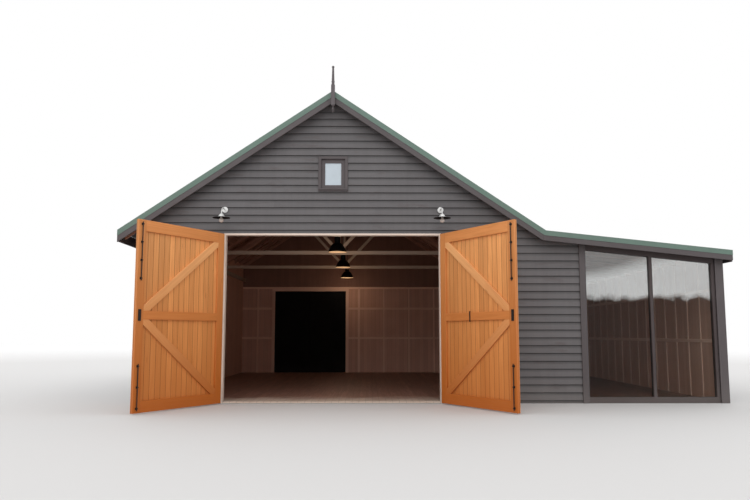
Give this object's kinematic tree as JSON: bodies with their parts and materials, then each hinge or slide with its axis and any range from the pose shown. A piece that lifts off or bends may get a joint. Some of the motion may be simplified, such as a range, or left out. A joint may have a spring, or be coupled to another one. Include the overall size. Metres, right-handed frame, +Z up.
{
  "type": "barn",
  "caption": "Weatherboard barn with a gabled hall, glazed side lean-to, king-post roof trusses and a pair of hinged boarded doors.",
  "frame": {"origin": "on the ground under the ridge, midway between the front and back walls", "axes": "+X to the lean-to side seen from the front, +Y from the front doors into the hall, +Z up"},
  "size_m": [12.35, 13.4937, 6.8447],
  "materials": {
    "weatherboard": "matt charcoal paint on lapped boards",
    "trim_paint": "matt charcoal paint",
    "green_roofing": "satin green paint",
    "cream_paint": "satin cream paint",
    "lining_paint": "matt cream paint on boards",
    "dark_timber": "dark stain",
    "floor_timber": "worn brown boards",
    "pale_metal": "dull",
    "honey_timber": "satin honey stain",
    "black_iron": "black paint",
    "black_paint": "matt black paint",
    "black_enamel": "satin black",
    "zinc": "dull galvanised",
    "window_glass": "clear",
    "bulb_glass": "opal"
  },
  "bodies": {
    "barn": {"floor_slab": "floor_timber", "threshold": "pale_metal", "front_wall_left": "weatherboard", "front_wall_right": "weatherboard", "front_wall_lean_to": "weatherboard", "front_gable_wall": "weatherboard", "left_wall": "weatherboard", "right_wall": "weatherboard", "back_wall": "weatherboard", "back_wall_lean_to": "weatherboard", "wall_lining": "lining_paint", "corner_boards": "trim_paint", "doorway_jambs": "cream_paint", "doorway_head": "cream_paint", "back_doors": "black_paint", "lean_to_frame": "trim_paint", "lean_to_glass": "window_glass", "gable_window_frame": "trim_paint", "gable_window_sash": "trim_paint", "gable_window_glass": "window_glass", "wall_plates": "cream_paint", "hall_posts": "cream_paint", "hall_beam": "cream_paint", "tie_beams": "cream_paint", "king_posts": "cream_paint", "truss_struts": "cream_paint", "principal_rafters": "dark_timber", "ridge_and_purlins": "dark_timber", "rafters": "dark_timber", "lean_to_rafters": "dark_timber", "ceiling_boards": "dark_timber", "roof_left": "green_roofing", "roof_right": "green_roofing", "roof_lean_to": "green_roofing", "ridge_cap": "green_roofing", "barge_boards": "trim_paint", "barge_caps": "green_roofing", "fascia_boards": "trim_paint", "finial": "trim_paint", "wall_lamp_arms": "zinc", "wall_lamp_shades": "zinc", "wall_lamp_bulbs": "bulb_glass", "pendant_lamps": "black_enamel", "pendant_bulbs": "bulb_glass", "hinge_pins": "black_iron"},
    "left_door": {"left_door_boards": "honey_timber", "left_door_stiles": "honey_timber", "left_door_rails": "honey_timber", "left_door_braces": "honey_timber", "left_door_straps": "black_iron", "left_door_bolts": "black_iron"},
    "right_door": {"right_door_boards": "honey_timber", "right_door_stiles": "honey_timber", "right_door_rails": "honey_timber", "right_door_braces": "honey_timber", "right_door_straps": "black_iron", "right_door_bolts": "black_iron"}
  },
  "joints": [
    {"name": "left_door_hinge", "type": "hinge", "parent": "barn", "child": "left_door", "pos_m": [-2.238, -5.684, 0], "axis": [0, 0, -1], "range_deg": [-120, 50]},
    {"name": "right_door_hinge", "type": "hinge", "parent": "barn", "child": "right_door", "pos_m": [2.238, -5.684, 0], "axis": [0, 0, 1], "range_deg": [-120, 50]}
  ]
}
